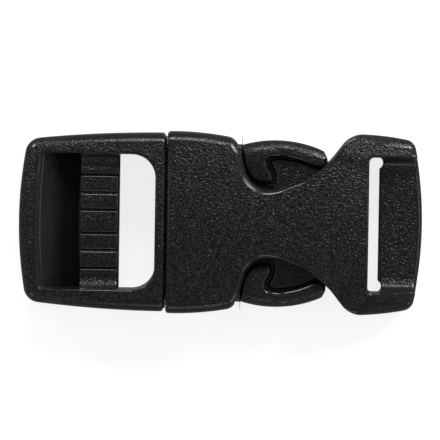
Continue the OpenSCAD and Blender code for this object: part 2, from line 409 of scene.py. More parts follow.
class Wiring:
    """Adds nodes to one material and links them."""

    def __init__(self, tree: bpy.types.NodeTree) -> None:
        """Keeps the tree, and the place of each point on the piece."""
        self.tree = tree
        self.place = tree.nodes.new("ShaderNodeTexCoord").outputs["Object"]

    def link(self, value: Value, socket: bpy.types.NodeSocket) -> None:
        """Gives a socket its value.

        Args:
            value: Socket to link to it, or a fixed number or colour.
            socket: Input that takes the value.
        """
        if isinstance(value, bpy.types.NodeSocket):
            self.tree.links.new(value, socket)
        elif isinstance(value, tuple):
            socket.default_value = (*value, 1.0)
        else:
            socket.default_value = value

    def attribute(self, name: str) -> bpy.types.NodeSocket:
        """Reads one value that the mesh keeps at each vertex.

        Args:
            name: Name of the value.

        Returns:
            The value.
        """
        node = self.tree.nodes.new("ShaderNodeAttribute")
        node.attribute_name = name
        return node.outputs["Fac"]

    def noise(self, kind: Noise) -> bpy.types.NodeSocket:
        """Adds a noise texture.

        Args:
            kind: Scale, detail and roughness of the noise.

        Returns:
            The noise, from 0 to 1.
        """
        node = self.tree.nodes.new("ShaderNodeTexNoise")
        self.link(kind.scale, node.inputs["Scale"])
        self.link(kind.detail, node.inputs["Detail"])
        self.link(kind.rough, node.inputs["Roughness"])
        self.link(self.place, node.inputs["Vector"])
        return node.outputs["Fac"]

    def cells(self, scale: float) -> bpy.types.NodeSocket:
        """Adds a cell texture.

        Args:
            scale: Cells in a metre.

        Returns:
            Distance to the middle of the nearest cell.
        """
        node = self.tree.nodes.new("ShaderNodeTexVoronoi")
        self.link(scale, node.inputs["Scale"])
        self.link(self.place, node.inputs["Vector"])
        return node.outputs["Distance"]

    def reach(self) -> bpy.types.NodeSocket:
        """Works out how far each point is from the origin.

        Returns:
            The distance.
        """
        node = self.tree.nodes.new("ShaderNodeVectorMath")
        node.operation = "LENGTH"
        self.link(self.place, node.inputs[0])
        return node.outputs["Value"]

    def ramp(
        self,
        value: bpy.types.NodeSocket,
        source: tuple[float, float],
        target: tuple[float, float] = (0.0, 1.0),
        kind: str = "LINEAR",
    ) -> bpy.types.NodeSocket:
        """Maps one range of values to another.

        Args:
            value: Socket to read.
            source: Range that is read.
            target: Range that is given.
            kind: How the ramp runs between its ends.

        Returns:
            The mapped value.
        """
        node = self.tree.nodes.new("ShaderNodeMapRange")
        node.interpolation_type = kind
        for name, number in zip(("From Min", "From Max", "To Min", "To Max"), (*source, *target)):
            self.link(number, node.inputs[name])
        self.link(value, node.inputs["Value"])
        return node.outputs["Result"]

    def sum(self, operation: str, first: Value, second: Value) -> bpy.types.NodeSocket:
        """Works out one sum.

        Args:
            operation: Name of the sum.
            first: Socket or number.
            second: Socket or number.

        Returns:
            The result.
        """
        node = self.tree.nodes.new("ShaderNodeMath")
        node.operation = operation
        self.link(first, node.inputs[0])
        self.link(second, node.inputs[1])
        return node.outputs["Value"]

    def mixed(self, share: bpy.types.NodeSocket, first: Value, second: Value) -> bpy.types.NodeSocket:
        """Mixes two colours.

        Args:
            share: How much of the second colour is taken, from 0 to 1.
            first: Colour, fixed or from another node.
            second: Colour, fixed or from another node.

        Returns:
            The mixed colour.
        """
        node = self.tree.nodes.new("ShaderNodeMix")
        node.data_type = "RGBA"
        self.link(share, node.inputs["Factor"])
        for letter, colour in (("A", first), ("B", second)):
            self.link(colour, next(i for i in node.inputs if i.name == letter and i.type == "RGBA"))
        return next(o for o in node.outputs if o.type == "RGBA")

    def bump(
        self, height: Value, strength: Value, distance: float, under: Value | None = None
    ) -> bpy.types.NodeSocket:
        """Adds relief.

        Args:
            height: Height of the relief, from 0 to 1.
            strength: How much of it shows.
            distance: Real height of the relief, in metres.
            under: Normal that the relief is laid over.

        Returns:
            The normal.
        """
        node = self.tree.nodes.new("ShaderNodeBump")
        self.link(height, node.inputs["Height"])
        self.link(strength, node.inputs["Strength"])
        self.link(distance, node.inputs["Distance"])
        if under is not None:
            self.link(under, node.inputs["Normal"])
        return node.outputs["Normal"]


@dataclass(frozen=True)
class MouldedPlastic:
    """Black injection-moulded plastic with a sparked grain that thins out on worn edges, and pale specks in
    its colour that are partly random tone and partly painted glints.
    """

    name: str
    black: Colour = (0.0042, 0.0036, 0.0036)
    smooth: Colour = (0.0125, 0.0105, 0.0096)
    # Pale specks: random tone of two hues that also serves as painted glints of the grain
    warm_glint_speck: Colour = (0.037, 0.03, 0.0275)
    cool_glint_speck: Colour = (0.031, 0.0285, 0.035)
    # Noises, and how deep the relief is that they drive, in metres
    speck: Noise = Noise(1.0 / 0.00019, 0.0, 0.5)
    speck_band: tuple[float, float] = (0.52, 0.66)
    hue: Noise = Noise(0.8 / 0.00019, 0.0, 0.5)
    hue_band: tuple[float, float] = (0.42, 0.58)
    spark: Noise = Noise(1.0 / 0.00024, 1.0, 0.6)
    grain_depth: float = 0.00014
    pit_size: float = 0.00032
    pit_share: float = 0.4
    cloud: Noise = Noise(420.0, 4.0, 0.55)
    cloud_depth: float = 0.00006
    cloud_strength: float = 0.35
    smudge: Noise = Noise(130.0, 3.0, 0.6)
    # Roughness and gloss
    cloud_band: tuple[float, float] = (0.3, 0.7)
    cloud_roughness: tuple[float, float] = (0.2, 0.31)
    spark_band: tuple[float, float] = (0.35, 0.7)
    spark_roughness: tuple[float, float] = (0.07, -0.07)
    smudge_band: tuple[float, float] = (0.4, 0.65)
    smudge_roughness: tuple[float, float] = (-0.03, 0.03)
    speck_polish: float = 0.08
    worn_polish: float = 0.08
    worn_flatness: float = 0.9
    sheen_level: float = 0.33
    rubbed_gloss: float = 0.45
    rubbed_roughness: float = 0.14

    def material(self) -> bpy.types.Material:
        """Builds the finish.

        Returns:
            A material that reads the attributes grain and wear of its mesh.
        """
        made = bpy.data.materials.new(self.name)
        made.use_nodes = True
        wiring = Wiring(made.node_tree)
        inputs = made.node_tree.nodes["Principled BSDF"].inputs
        grain = wiring.attribute("grain")
        wear = wiring.attribute("wear")
        spark = wiring.noise(self.spark)
        cloud = wiring.noise(self.cloud)
        speck = wiring.ramp(wiring.noise(self.speck), self.speck_band)
        speck = wiring.sum("MULTIPLY", speck, grain)
        # Base colour with pale specks, partly painted glints
        wiring.link(self._colour(wiring, grain, speck), inputs["Base Color"])
        wiring.link(self._roughness(wiring, wear, spark, cloud, speck), inputs["Roughness"])
        wiring.link(self._relief(wiring, grain, wear, spark, cloud), inputs["Normal"])
        wiring.link(self.sheen_level, inputs["Specular IOR Level"])
        wiring.link(self.rubbed_roughness, inputs["Coat Roughness"])
        wiring.link(wiring.sum("MULTIPLY", wear, self.rubbed_gloss), inputs["Coat Weight"])
        return made

    def _colour(self, wiring: Wiring, grain: Value, speck: Value) -> bpy.types.NodeSocket:
        """Black with pale specks of two hues where the grain is, plain where it isn't; the specks are partly
        random tone and partly painted glints of the grain.

        Args:
            wiring: Nodes of the material.
            grain: Depth of the grain.
            speck: Where the specks are.

        Returns:
            The colour.
        """
        hue = wiring.ramp(wiring.noise(self.hue), self.hue_band)
        bright = wiring.mixed(hue, self.warm_glint_speck, self.cool_glint_speck)
        sparked = wiring.mixed(speck, self.black, bright)
        return wiring.mixed(grain, self.smooth, sparked)

    def _roughness(
        self, wiring: Wiring, wear: Value, spark: Value, cloud: Value, speck: Value
    ) -> bpy.types.NodeSocket:
        """Roughness that drifts over the piece, lower on specks and worn edges.

        Args:
            wiring: Nodes of the material.
            wear: How worn the place is.
            spark: Noise of the grain.
            cloud: Broad noise.
            speck: Where the specks are.

        Returns:
            The roughness.
        """
        smudge = wiring.noise(self.smudge)
        rough = wiring.ramp(cloud, self.cloud_band, self.cloud_roughness)
        rough = wiring.sum("ADD", rough, wiring.ramp(spark, self.spark_band, self.spark_roughness))
        rough = wiring.sum("SUBTRACT", rough, wiring.sum("MULTIPLY", speck, self.speck_polish))
        rough = wiring.sum("SUBTRACT", rough, wiring.sum("MULTIPLY", wear, self.worn_polish))
        return wiring.sum("ADD", rough, wiring.ramp(smudge, self.smudge_band, self.smudge_roughness))

    def _relief(
        self, wiring: Wiring, grain: Value, wear: Value, spark: Value, cloud: Value
    ) -> bpy.types.NodeSocket:
        """Sparked grain with pits, rubbed flat on worn edges, over the slight waves of a moulding.

        Args:
            wiring: Nodes of the material.
            grain: Depth of the grain.
            wear: How worn the place is.
            spark: Noise of the grain.
            cloud: Broad noise.

        Returns:
            The normal.
        """
        pits = wiring.cells(1.0 / self.pit_size)
        kept = wiring.sum("SUBTRACT", 1.0, wiring.sum("MULTIPLY", wear, self.worn_flatness))
        height = wiring.sum("ADD", spark, wiring.sum("MULTIPLY", pits, self.pit_share))
        fine = wiring.bump(height, wiring.sum("MULTIPLY", grain, kept), self.grain_depth)
        return wiring.bump(cloud, self.cloud_strength, self.cloud_depth, fine)


@dataclass
class BuckleForm:
    """Sizes that both halves share, in millimetres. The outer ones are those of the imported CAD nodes."""

    arch_radius: float = 140.0
    arch_middle: float = -3.0
    crown_radius: float = 60.0
    roll: float = 1.2
    low_roll: float = 0.9
    draft: float = math.tan(math.radians(1.0))
    parting: float = 3.2
    half_gap: float = 0.13
    mouth_roll: float = 0.36
    half_strap: float = 8.13
    middle: float = 3.6
    plate: float = 1.3
    cavity_top: float = 5.95
    cavity_wall: float = 1.35
    # Digits after the point that are kept of a worked-out measure
    digits: int = 4

    def __post_init__(self) -> None:
        """Reads the ends, the sides, the top and the joint between the halves from the frame."""
        latch_low, latch_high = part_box("latch_half")
        socket_low, socket_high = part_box("socket_half")
        self.left_end = latch_low.x / MM
        self.right_end = socket_high.x / MM
        self.half_width = socket_high.y / MM
        self.height = socket_high.z / MM
        self.tongue_end = round(latch_high.x / MM, self.digits)
        self.joint = round(socket_low.x / MM - self.half_gap, self.digits)
        self.cavity_half_width = round(self.half_width - self.cavity_wall, self.digits)

    def crown(self, x: Array, y: Array) -> Array:
        """Height of the arched and crowned top over points in plan."""
        arch = (x - self.arch_middle) ** 2 / (2 * self.arch_radius)
        return self.height - arch - y**2 / (2 * self.crown_radius)

    def drafted(self, plan: Array, z: Array) -> Array:
        """Side walls that lean in above and below the parting line."""
        return plan + np.abs(z - self.parting) * self.draft


@dataclass
class MouldedPiece:
    """One visible stretch of a moulding, drawn from its field."""

    form: BuckleForm
    finish: bpy.types.Material
    name: str = "piece"
    node: str = "latch_half"
    slot: str = "latch_plastic"
    step: float = 0.1
    quick_coarseness: float = 1.6
    most_triangles: int = 190_000
    end_room: float = 0.4
    side_room: float = 0.3

    def lattice(self) -> Lattice:
        """Grid that holds the piece."""
        raise NotImplementedError

    def values(self, lattice: Lattice) -> Array:
        """Field of the piece on its grid."""
        raise NotImplementedError

    def grain(self, points: Array) -> Array:
        """Depth of the grain at points given in millimetres."""
        raise NotImplementedError

    def build(self) -> bpy.types.Object:
        """Draws the piece, dresses it and hands it to the frame.

        Returns:
            The finished object.
        """
        lattice = self.lattice()
        surface = SampledField(lattice, self.values(lattice))
        vertices, quads = surface.net()
        mesh = bpy.data.meshes.new(self.name)
        mesh.from_pydata((vertices * MM).tolist(), [], quads.tolist())
        piece = bpy.data.objects.new(self.name, mesh)
        bpy.context.scene.collection.objects.link(piece)
        self._thin_out(piece, 2 * len(quads))
        self._settle(piece.data, surface)
        piece.data.materials.append(self.finish)
        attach(piece, "root")
        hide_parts(self.node)
        faces = len(piece.data.polygons)
        log.info("%s: %d triangles drawn, %d faces kept", self.name, 2 * len(quads), faces)
        return piece

    def _thin_out(self, piece: bpy.types.Object, triangles: int) -> None:
        """Merges triangles where the surface is flat.

        Args:
            piece: Object whose mesh is thinned.
            triangles: How many it has.
        """
        if triangles <= self.most_triangles:
            return
        thinning = piece.modifiers.new("Thin out", "DECIMATE")
        thinning.ratio = self.most_triangles / triangles
        shown = piece.evaluated_get(bpy.context.evaluated_depsgraph_get())
        thin = bpy.data.meshes.new_from_object(shown)
        piece.modifiers.clear()
        full = piece.data
        piece.data = thin
        bpy.data.meshes.remove(full)
        thin.name = self.name

    def _settle(self, mesh: bpy.types.Mesh, surface: SampledField) -> None:
        """Puts the vertices on the surface and keeps its normals, grain and wear with them.

        Args:
            mesh: Mesh to treat.
            surface: Field that the mesh was drawn from.
        """
        places = np.empty(3 * len(mesh.vertices), np.float32)
        mesh.vertices.foreach_get("co", places)
        points = surface.settled(places.reshape(-1, 3).astype(float) / MM)
        mesh.vertices.foreach_set("co", (points * MM).astype(np.float32).ravel())
        mesh.update()
        mesh.shade_smooth()
        mesh.normals_split_custom_set_from_vertices(surface.normals(points).tolist())
        for name, values in (("grain", self.grain(points)), ("wear", surface.wear(points))):
            kept = mesh.attributes.new(name, "FLOAT", "POINT")
            kept.data.foreach_set("value", values.astype(np.float32))


@dataclass
class AdjusterFrame(MouldedPiece):
    """Frame of the latch half: rails, rim, sloping bar, ribbed bar and mouth bar."""

    name: str = "latch_frame"
    # Rim, rails and the collar at the mouth
    side: Bow = Bow(-6.5, 10.72, 143.0)
    end_radius: float = 50.0
    corner_roll: float = 1.3
    collar_inset: float = 0.45
    collar_depth: float = 0.5
    collar_half: float = 0.19
    # Pocket and strap window
    rim_width: float = 2.05
    mouth_bar_width: float = 1.25
    window_length: float = 4.26
    window_roll: float = 2.8
    inner_roll: float = 0.26
    # Sloping bar
    strip_width: float = 0.55
    slope_bow_radius: float = 82.5
    slope_foot: float = 0.3
    slope_overlap: float = 0.2
    slope_fillet: float = 0.1
    # Ribbed bar
    bar_length: float = 4.68
    bar_top: float = 5.35
    bar_bottom: float = 3.1
    bar_corner: float = 0.35
    bar_roll_left: float = 0.1
    bar_roll_right: float = 0.5
    bar_overlap: float = 0.25
    bar_joint_fillet: float = 0.16
    bar_bow_radius: float = 130.0
    bar_floor_half: float = 6.55
    bar_fillet: float = 1.62
    above_all: float = 9.0
    rib_edges: tuple[float, ...] = (1.4, 3.45, 5.6)
    rib_rise: float = 0.1
    rib_fullness: float = 0.6
    groove_half: float = 0.2
    groove_depth: float = 0.26
    rail_lip: float = 0.25
    # Bounds of the polished, fine and rubbed stretches
    opening_skin: float = 0.12
    rib_skin: float = 0.6
    ribs_half: float = 7.6
    rubbed_start: float = -19.0
    rubbed_half: float = 9.45

    def __post_init__(self) -> None:
        """Works out where the pocket, the strap window and the ribbed bar begin and end."""
        digits = self.form.digits
        self.pocket_left = round(self.form.left_end + self.rim_width, digits)
        self.window_right = round(self.form.joint - self.mouth_bar_width, digits)
        self.bar_right = round(self.window_right - self.window_length, digits)
        self.bar_left = round(self.bar_right - self.bar_length, digits)

    def lattice(self) -> Lattice:
        """Grid that holds the frame.

        Returns:
            The grid.
        """
        f = self.form
        side = f.half_width + self.side_room
        low = (f.left_end - self.end_room, -side, -self.end_room)
        high = (f.joint + self.end_room, side, f.height + self.side_room)
        return Lattice(low, high, self.step)

    def opening(self) -> Outline:
        """Pocket and strap window together, in plan.

        Returns:
            The outline.
        """
        half = self.form.half_strap
        return Outline.both_sides([
            Corner(self.pocket_left, 0.0),
            Corner(self.pocket_left + 0.08, 3.6, 40.0),
            Corner(self.pocket_left + 0.4, half, 0.45),
            Corner(self.window_right, half, self.window_roll),
        ])

    def values(self, lattice: Lattice) -> Array:
        """Field of the frame.

        Args:
            lattice: Grid of the frame.

        Returns:
            Field of the rim and rails with their opening, the collar at the mouth and both bars.
        """
        f = self.form
        x, y, z = lattice.x, lattice.y, lattice.z
        top = lattice.below(f.crown(x, y))
        side = self.side.distance(x, np.abs(y))
        end = np.hypot(x - f.left_end - self.end_radius, y) - self.end_radius
        walls = f.drafted(rolled(side, end, self.corner_roll), z)
        body = np.maximum(rolled(walls, top, f.roll), rolled(walls, -z, f.low_roll))
        mouth = x - (f.joint - f.half_gap)
        body = rolled(body, mouth, f.mouth_roll)
        collar = np.maximum(side + self.collar_inset, top + self.collar_depth)
        collar = np.maximum(collar, np.maximum(self.collar_depth - z, np.abs(mouth) - self.collar_half))
        body = np.minimum(body, collar)
        opening = self.opening().distance(x, y)
        hole = np.maximum(rolled(-opening, top, self.inner_roll), rolled(-opening, -z, self.inner_roll))
        body = np.maximum(body, hole)
        body = joined(body, self._sloping_bar(x, y, z), self.slope_fillet)
        return joined(body, self._ribbed_bar(lattice), self.bar_joint_fillet)

    def _sloping_bar(self, x: Array, y: Array, z: Array) -> Array:
        """Bar that leads the webbing down under the ribbed bar.

        Args:
            x: Place along the buckle.
            y: Place across it.
            z: Height.

        Returns:
            Field of the bar.
        """
        left = self.pocket_left
        section = Outline([
            Corner(left - 0.7, 0.4),
            Corner(left - 0.7, 5.9),
            Corner(left, 6.0, 0.1),
            Corner(left + self.strip_width, 5.74, 0.12),
            Corner(self.bar_left - 0.3, 1.75, 0.3),
            Corner(self.bar_left + 0.3, 0.9, 0.25),
            Corner(self.bar_left - 0.7, 0.5, 0.2),
        ])
        bowed_x = x - y**2 / (2 * self.slope_bow_radius)
        crowned_z = z + y**2 / (2 * self.form.crown_radius)
        shape = np.maximum(section.distance(bowed_x, crowned_z), self.slope_foot - z)
        return np.maximum(shape, np.abs(y) - self.form.half_strap - self.slope_overlap)

    def _ribbed_bar(self, lattice: Lattice) -> Array:
        """Bar that grips the webbing: shallow ribs side by side, with fillets up to the rails.

        Args:
            lattice: Grid of the frame.

        Returns:
            Field of the bar.
        """
        x, y, z = lattice.x, lattice.y, lattice.z
        top = lattice.below(self._rib_height(np.abs(y)))
        section = Outline([
            Corner(self.bar_left, self.bar_bottom, self.bar_corner),
            Corner(self.bar_left, self.above_all),
            Corner(self.bar_right, self.above_all),
            Corner(self.bar_right, self.bar_bottom, self.bar_corner),
        ])
        across = smooth_step(self.bar_left, self.bar_right, x)
        roll = blended(self.bar_roll_left, self.bar_roll_right, across)
        bar = rolled(section.distance(x, z), top, roll)
        crown = lattice.below(self.form.crown(x, y) - self.rail_lip)
        ends = np.abs(y) - self.form.half_strap - self.bar_overlap
        return np.maximum(np.maximum(bar, crown), ends)

    def _rib_height(self, away: Array) -> Array:
        """Top of the ribbed bar across the buckle.

        Args:
            away: Distance from the middle plane.

        Returns:
            Height: ribs, the grooves between them and the fillets at both ends.
        """
        height = self.bar_top - away**2 / (2 * self.bar_bow_radius)
        inner_edges = (-self.rib_edges[0], *self.rib_edges)
        outer_edges = (*self.rib_edges, self.bar_floor_half)
        for inner, outer in zip(inner_edges, outer_edges):
            share = np.clip((away - inner) / (outer - inner), 0.0, 1.0)
            height = height + self.rib_rise * (4 * share * (1 - share)) ** self.rib_fullness
        for edge in self.rib_edges:
            groove = np.clip(1.0 - np.abs(away - edge) / self.groove_half, 0.0, 1.0)
            height = height - self.groove_depth * groove
        return height + fillet_rise(away, self.bar_floor_half, self.bar_fillet)

    def grain(self, points: Array) -> Array:
        """Sparked outside, fine on the ribs and polished elsewhere in the opening.

        Args:
            points: Points on the frame, in millimetres.

        Returns:
            Depth of the grain at each point.
        """
        x, away, z = points[:, 0], np.abs(points[:, 1]), points[:, 2]
        inside = self.opening().distance(x, points[:, 1]) < self.opening_skin
        ribs = (x > self.bar_left) & (x < self.bar_right) & (away < self.ribs_half)
        ribs &= z > self.bar_top - self.rib_skin
        rubbed = (away > self.rubbed_half) & (x > self.rubbed_start)
        inner = np.where(ribs, Grain.FINE.value, Grain.POLISHED.value)
        outer = np.where(rubbed, Grain.RUBBED.value, Grain.SPARKED.value)
        return np.where(inside, inner, outer)


@dataclass
class ReleaseArms(MouldedPiece):
    """Root, guide tongue and the two spring arms with their release pads."""

    name: str = "latch_arms"
    gap: float = 0.25
    # Grid round the arms
    grid_inset: float = 0.5
    grid_start: float = 0.9
    grid_end: float = 15.0
    grid_heights: tuple[float, float] = (1.1, 6.1)
    # Root, tongue and arms
    root_past_joint: float = 0.9
    root_half_length: float = 1.5
    root_roll: float = 0.4
    tongue_half: float = 1.3
    inner_roll: float = 0.3
    arm_start: float = 1.0
    arm_end: float = 2.42
    arm_width: float = 2.0
    arm_half: float = 2.05
    arm_clearance: float = 0.2
    # Low web of the pad
    pad_fillet: float = 0.06
    web_half: float = 0.75
    web_roll: float = 0.2
    web_start: float = 2.47
    # Raised head and the ridge along the outer edge
    pad_radius: float = 14.0
    pad_middle: tuple[float, float] = (6.55, -4.02)
    raised_fillet: float = 0.08
    rim_half: float = 2.15
    rim_fall: float = 0.018
    rim_outer_roll: float = 1.3
    ridge_rolls: tuple[float, float] = (0.3, 0.9)
    ridge_ramp: tuple[float, float] = (8.0, 10.5)
    edge_roll: float = 0.28
    hook_roll: float = 0.5
    hook_ramp: tuple[float, float] = (3.6, 5.0)
    tip_roll: float = 0.8
    tip_ramp: tuple[float, float] = (11.2, 12.4)
    head_dome: float = 0.045
    dome_middle: tuple[float, float] = (4.6, 7.6)
    dome_reach: float = 6.0
    dome_ramp: tuple[float, float] = (6.0, 8.0)
    head_corners: tuple[Corner, ...] = (
        Corner(2.5, 12.0),
        Corner(2.5, 9.2, 2.0),
        Corner(2.75, 6.9, 2.5),
        Corner(3.6, 5.4, 1.5),
        Corner(4.6, 4.88, 1.0),
        Corner(6.05, 4.9, 0.45),
        Corner(6.1, 5.8, 1.2),
        Corner(5.3, 7.3, 0.7),
        Corner(5.6, 8.0, 0.6),
        Corner(7.3, 8.12, 1.8),
        Corner(9.6, 7.6, 5.0),
        Corner(12.7, 6.25, 0.3),
        Corner(12.7, 12.0),
    )
    # Textured plate inside the hook
    plate_half: float = 1.3
    plate_tilt: float = 0.06
    plate_pivot: float = 6.0
    plate_roll: float = 0.14
    plate_fillet: float = 0.05
    plate_corners: tuple[Corner, ...] = (
        Corner(5.75, 7.66, 0.35),
        Corner(6.3, 6.5, 1.5),
        Corner(6.62, 5.6, 0.9),
        Corner(6.5, 4.9, 0.6),
        Corner(6.1, 4.0, 0.4),
        Corner(8.6, 3.7, 3.0),
        Corner(10.6, 4.85, 4.0),
        Corner(12.4, 6.0, 0.2),
        Corner(9.6, 7.38, 5.0),
        Corner(7.3, 7.76, 1.6),
    )

    def lattice(self) -> Lattice:
        """Grid that holds the arms.

        Returns:
            The grid.
        """
        side = self.form.half_width - self.grid_inset
        low = (self.form.joint - self.grid_start, -side, self.grid_heights[0])
        return Lattice(low, (self.grid_end, side, self.grid_heights[1]), self.step)

    def values(self, lattice: Lattice) -> Array:
        """Field of the root, the tongue and both arms.

        Args:
            lattice: Grid of the arms.

        Returns:
            The field.
        """
        f = self.form
        x, y, z = lattice.x, lattice.y, lattice.z
        away = np.abs(y)
        mid = np.abs(z - f.middle)
        along = np.abs(x - f.joint - self.root_past_joint) - self.root_half_length
        root = np.maximum(along, away - f.cavity_half_width + self.gap)
        root = rolled(root, mid - f.middle + f.plate + self.gap, self.root_roll)
        tongue = rolled(self._tongue().distance(x, y), mid - self.tongue_half, self.inner_roll)
        spring = rolled(self._arm().distance(x, away), mid - self.arm_half, self.inner_roll)
        body = joined(root, joined(tongue, spring, self.inner_roll), self.root_roll)
        return joined(body, self._pad(x, away, mid), self.pad_fillet)

    def _outside(self) -> float:
        """How far out the arms reach inside the socket."""
        return self.form.cavity_half_width - self.arm_clearance

    def _tongue(self) -> Outline:
        """Outline of the hidden guide tongue.

        Returns:
            The outline.
        """
        return Outline.both_sides([
            Corner(self.form.joint + self.arm_start, 3.7),
            Corner(0.6, 3.5, 2.0),
            Corner(6.0, 1.5, 4.0),
            Corner(self.form.tongue_end, 1.2, 0.8),
        ])

    def _arm(self) -> Outline:
        """Outline of one spring arm inside the sleeve.

        Returns:
            The outline.
        """
        start = self.form.joint + self.arm_start
        outside = self._outside()
        return Outline([
            Corner(start, outside),
            Corner(start, outside - self.arm_width),
            Corner(self.arm_end, outside - self.arm_width, 0.5),
            Corner(self.arm_end, outside, 0.3),
        ])

    def _web(self) -> Outline:
        """Outline of the low web that joins the arm, the head and the plate.

        Returns:
            The outline.
        """
        start = self.form.joint + self.arm_start
        outside = self._outside()
        return Outline([
            Corner(start, outside + 0.1),
            Corner(start, outside - self.arm_width),
            Corner(1.4, outside - self.arm_width, 1.0),
            Corner(3.3, 4.3, 1.4),
            Corner(5.0, 3.4, 1.5),
            Corner(8.6, 3.6, 4.0),
            Corner(10.6, 4.75, 5.0),
            Corner(12.45, 6.6, 0.4),
            Corner(12.45, 8.3, 0.9),
            Corner(11.0, 12.0),
            Corner(2.45, 12.0),
            Corner(2.4, outside + 0.1),
        ])

    def _pad(self, x: Array, away: Array, mid: Array) -> Array:
        """Field of one release pad, the same above and below its middle.

        Args:
            x: Place along the buckle.
            away: Distance from the middle plane across the buckle.
            mid: Distance from the middle height.

        Returns:
            Field of the pad: low web, raised head with its ridge, and plate.
        """
        disc = np.hypot(x - self.pad_middle[0], away - self.pad_middle[1]) - self.pad_radius
        bound = np.where(x > self.web_start, disc, -1.0)
        web = np.maximum(self._web().distance(x, away), bound)
        head = Outline(self.head_corners).distance(x, away)
        above = mid - self.rim_half + self.rim_fall * np.maximum(x - self.pad_middle[0], 0.0) ** 2
        above = above + self._dome(x, away)
        roll = blended(self.edge_roll, self.hook_roll, smooth_step(*self.hook_ramp, x))
        roll = roll + (self.tip_roll - self.hook_roll) * smooth_step(*self.tip_ramp, x)
        raised = np.maximum(rolled(disc, above, self.rim_outer_roll), rolled(head, above, roll))
        ridge_roll = blended(*self.ridge_rolls, smooth_step(*self.ridge_ramp, x))
        raised = np.maximum(raised, rolled(head, disc, ridge_roll))
        pad = joined(rolled(web, mid - self.web_half, self.web_roll), raised, self.raised_fillet)
        plate = np.maximum(Outline(self.plate_corners).distance(x, away), disc)
        level = mid - self.plate_half + self.plate_tilt * (away - self.plate_pivot)
        return joined(pad, rolled(plate, level, self.plate_roll), self.plate_fillet)

    def _dome(self, x: Array, away: Array) -> Array:
        """How far the head of a pad falls away from the top of its dome.

        Args:
            x: Place along the buckle.
            away: Distance from the middle plane across the buckle.

        Returns:
            Depth below the top of the dome.
        """
        square = (x - self.dome_middle[0]) ** 2 + (away - self.dome_middle[1]) ** 2
        dome = np.minimum(square, self.dome_reach) * (1.0 - smooth_step(*self.dome_ramp, x))
        return self.head_dome * dome

    def grain(self, points: Array) -> Array:
        """Fine grain all over the arms and pads."""
        return np.full(len(points), Grain.FINE.value)


